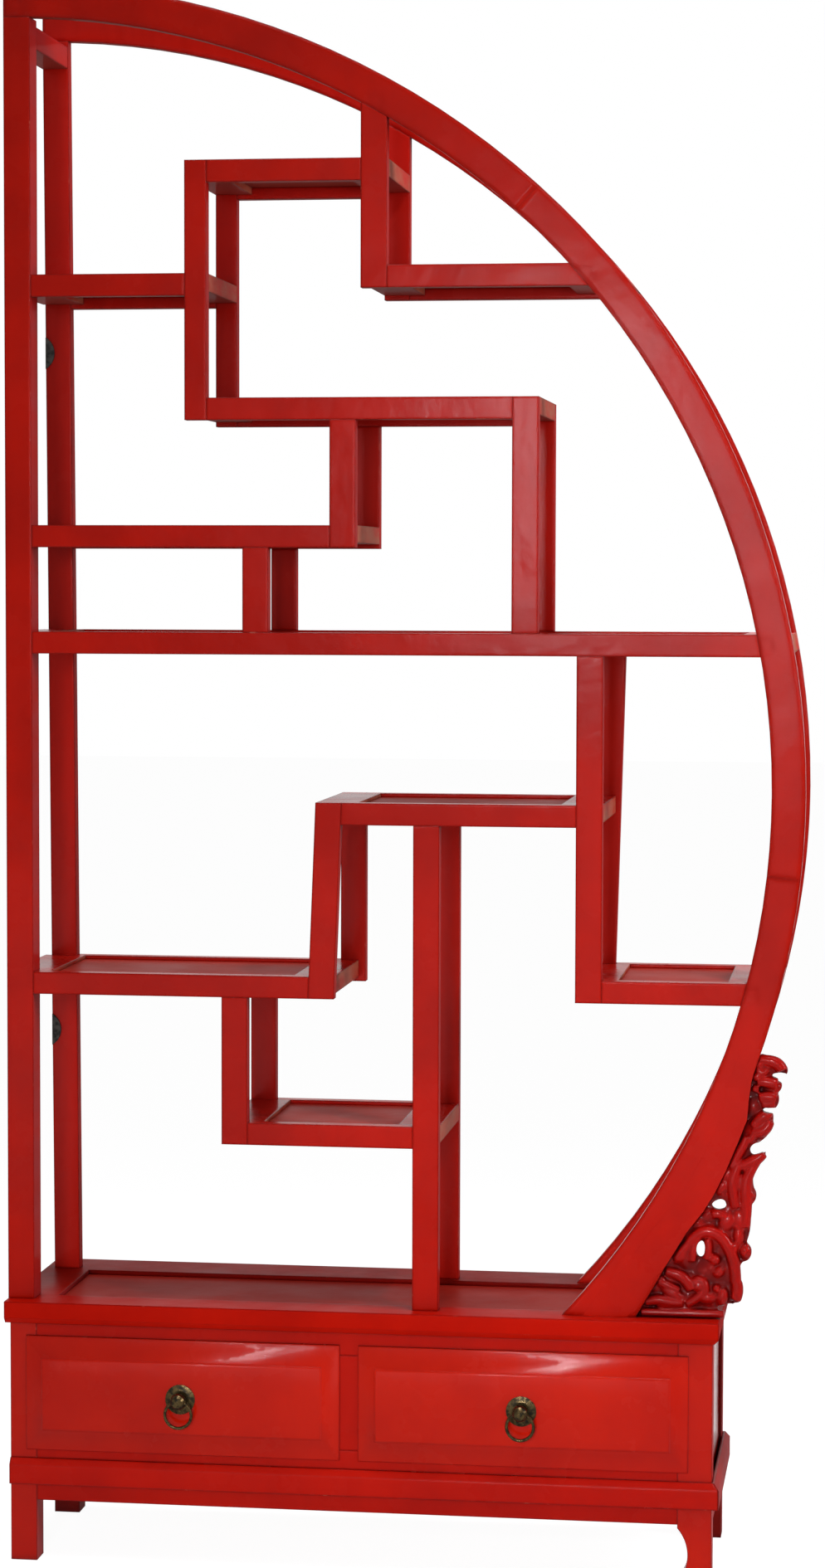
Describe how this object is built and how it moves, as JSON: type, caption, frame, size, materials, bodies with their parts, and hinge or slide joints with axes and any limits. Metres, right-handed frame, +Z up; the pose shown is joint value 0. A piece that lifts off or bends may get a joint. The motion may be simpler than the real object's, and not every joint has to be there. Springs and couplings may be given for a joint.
{
  "type": "etagere",
  "caption": "Half-moon lacquered wood etagere: stepped open shelves in a semicircular rim with a carved spandrel, on a low chest with ring-pull drawers.",
  "frame": {"origin": "centre of the bounding box in plan, on the floor", "axes": "+Z up; the front faces -Y; +X to the right as seen from the front, from the straight meeting side to the curved side"},
  "size_m": [1.014, 0.3168, 2.0111],
  "materials": {
    "red_lacquer": "gloss red lacquer, worn at the edges",
    "panel_lacquer": "satin brownish red lacquer",
    "drawer_wood": "bare planed softwood",
    "bronze": "aged greenish brown patina",
    "iron": "dark, matt"
  },
  "bodies": {
    "carcass": {"aprons": "red_lacquer", "back_panel": "panel_lacquer", "base_moulding": "red_lacquer", "bottom_step_shelf_frame": "red_lacquer", "bottom_step_shelf_panel": "panel_lacquer", "carved_spandrel": "red_lacquer", "centre_stile": "red_lacquer", "chest_rails": "red_lacquer", "crown_divider": "red_lacquer", "deck_frame": "red_lacquer", "deck_panel": "panel_lacquer", "drawer_runners": "drawer_wood", "front_left_leg": "red_lacquer", "front_left_post": "red_lacquer", "front_right_leg": "red_lacquer", "front_rim": "red_lacquer", "high_left_divider": "red_lacquer", "high_middle_divider": "red_lacquer", "high_middle_shelf_frame": "red_lacquer", "high_middle_shelf_panel": "panel_lacquer", "high_right_divider": "red_lacquer", "joining_plates": "iron", "leaning_divider": "red_lacquer", "low_left_divider": "red_lacquer", "low_middle_shelf_frame": "red_lacquer", "low_middle_shelf_panel": "panel_lacquer", "low_right_divider": "red_lacquer", "lower_left_shelf_frame": "red_lacquer", "lower_left_shelf_panel": "panel_lacquer", "lower_right_shelf_frame": "red_lacquer", "lower_right_shelf_panel": "panel_lacquer", "main_shelf_frame": "red_lacquer", "main_shelf_panel": "panel_lacquer", "middle_left_shelf_frame": "red_lacquer", "middle_left_shelf_panel": "panel_lacquer", "rear_left_post": "red_lacquer", "rear_legs": "red_lacquer", "rear_rim": "red_lacquer", "short_divider": "red_lacquer", "side_panels": "panel_lacquer", "tall_divider": "red_lacquer", "top_shelf_frame": "red_lacquer", "top_shelf_panel": "panel_lacquer", "top_tie_rail": "red_lacquer", "upper_left_shelf_frame": "red_lacquer", "upper_left_shelf_panel": "panel_lacquer", "upper_right_shelf_frame": "red_lacquer", "upper_right_shelf_panel": "panel_lacquer"},
    "left_drawer": {"left_drawer_front": "red_lacquer", "left_drawer_sides": "drawer_wood", "left_drawer_bottom": "drawer_wood", "left_pull_plate": "bronze", "left_pull_pin": "bronze"},
    "left_ring": {"left_pull_ring": "bronze"},
    "right_drawer": {"right_drawer_front": "red_lacquer", "right_drawer_sides": "drawer_wood", "right_drawer_bottom": "drawer_wood", "right_pull_plate": "bronze", "right_pull_pin": "bronze"},
    "right_ring": {"right_pull_ring": "bronze"}
  },
  "joints": [
    {"name": "left_drawer_slide", "type": "slide", "parent": "carcass", "child": "left_drawer", "axis": [0, -1, 0], "range_m": [0, 0.16]},
    {"name": "right_drawer_slide", "type": "slide", "parent": "carcass", "child": "right_drawer", "axis": [0, -1, 0], "range_m": [0, 0.16]},
    {"name": "left_ring_swing", "type": "hinge", "parent": "left_drawer", "child": "left_ring", "pos_m": [-0.2775, -0.14821, 0.219], "axis": [-1, 0, 0], "range_deg": [-10, 100]},
    {"name": "right_ring_swing", "type": "hinge", "parent": "right_drawer", "child": "right_ring", "pos_m": [0.1589, -0.14821, 0.219], "axis": [-1, 0, 0], "range_deg": [-10, 100]}
  ]
}
